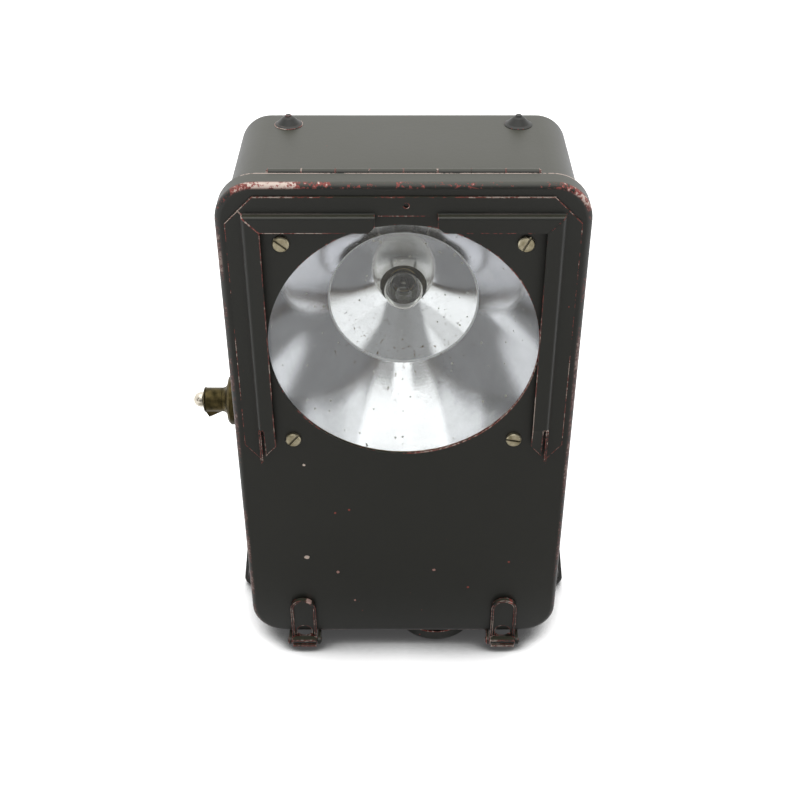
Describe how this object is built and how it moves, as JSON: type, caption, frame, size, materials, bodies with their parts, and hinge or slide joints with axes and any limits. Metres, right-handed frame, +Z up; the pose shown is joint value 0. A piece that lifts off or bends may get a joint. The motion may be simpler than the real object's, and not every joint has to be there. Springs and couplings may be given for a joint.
{
  "type": "morse signal lamp",
  "caption": "Flat box signal lamp with a hinged round-window front, filter guides, two bottom latches, side key and folding bail.",
  "frame": {"origin": "centre of the pole socket's mouth, under the case, on the surface that the lamp stands on", "axes": "+Z up, +Y from the window towards the back of the case, +X to the right as seen from in front of the window"},
  "size_m": [0.1347, 0.0645, 0.1879],
  "materials": {
    "olive_paint": "semi-gloss olive black paint, chipped to red primer",
    "seal_rubber": "dull",
    "clear_glass": "clear",
    "polished_aluminium": "polished",
    "plated_steel": "dull plated",
    "screw_nickel": "worn nickel",
    "bright_brass": "satin",
    "dark_brass": "dark patina",
    "nickel_ball": "polished",
    "black_insulation": "pressed board",
    "solder": "dull",
    "filament_wire": "dark",
    "battery_paper": "plain"
  },
  "bodies": {
    "case": {"rear_case": "olive_paint", "hinge_rear_leaf": "olive_paint", "hinge_pin": "olive_paint", "top_studs": "olive_paint", "socket_boss": "olive_paint", "socket_nut": "plated_steel", "left_latch_bracket": "olive_paint", "right_latch_bracket": "olive_paint", "latch_pins": "olive_paint", "bracket_rivets": "olive_paint", "bail_washers": "olive_paint", "bail_rivets": "olive_paint", "battery_tray": "plated_steel", "tray_rivets": "olive_paint", "battery": "battery_paper", "battery_terminals": "bright_brass", "contact_board": "black_insulation", "contact_springs": "bright_brass", "contact_rivets": "bright_brass", "board_brackets": "plated_steel", "board_rivets": "plated_steel", "back_rivets": "olive_paint", "strip_insulator": "black_insulation", "lamp_feed_strip": "bright_brass", "key_feed_strip": "bright_brass", "key_base": "dark_brass", "key_nut": "dark_brass", "key_retainer": "bright_brass", "key_spring": "plated_steel"},
    "cover": {"front_cover": "olive_paint", "cover_seal": "seal_rubber", "left_filter_guide": "olive_paint", "right_filter_guide": "olive_paint", "top_filter_guide": "olive_paint", "window_gasket": "seal_rubber", "window_glass": "clear_glass", "reflector": "polished_aluminium", "clamp_frame": "plated_steel", "clamp_spacers": "plated_steel", "clamp_screws": "screw_nickel", "clamp_nuts": "plated_steel", "bulb_glass": "clear_glass", "bulb_cap": "bright_brass", "bulb_insulator": "black_insulation", "bulb_contact": "solder", "filament_supports": "filament_wire", "filament": "filament_wire", "lamp_holder": "bright_brass", "holder_insulator": "black_insulation", "holder_contact": "bright_brass", "battery_press_spring": "plated_steel", "hinge_front_leaf": "olive_paint"},
    "left_latch_body": {"left_latch": "olive_paint"},
    "right_latch_body": {"right_latch": "olive_paint"},
    "bail_body": {"bail": "olive_paint"},
    "key_button_body": {"key_button": "nickel_ball"},
    "key_collar_body": {"key_collar": "dark_brass"}
  },
  "joints": [
    {"name": "cover_hinge", "type": "hinge", "parent": "case", "child": "cover", "pos_m": [-0.0119, -0.0066, 0.18635], "axis": [-1, 0, 0], "range_deg": [0, 180]},
    {"name": "left_latch_pivot", "type": "hinge", "parent": "case", "child": "left_latch_body", "pos_m": [-0.0483, -0.0175, 0.0042], "axis": [1, 0, 0], "range_deg": [0, 95]},
    {"name": "right_latch_pivot", "type": "hinge", "parent": "case", "child": "right_latch_body", "pos_m": [0.0245, -0.0175, 0.0042], "axis": [1, 0, 0], "range_deg": [0, 95]},
    {"name": "bail_swing", "type": "hinge", "parent": "case", "child": "bail_body", "pos_m": [-0.0119, 0.0223, 0.068], "axis": [1, 0, 0], "range_deg": [0, 155]},
    {"name": "key_press", "type": "slide", "parent": "case", "child": "key_button_body", "axis": [1, 0, 0], "range_m": [0, 0.0022], "stiffness_N_per_m": 300, "springref_m": -0.002, "deforming": ["key_spring"]},
    {"name": "collar_twist", "type": "hinge", "parent": "case", "child": "key_collar_body", "pos_m": [-0.0771, 0.0113, 0.0928], "axis": [1, 0, 0], "range_deg": [0, 90]}
  ]
}
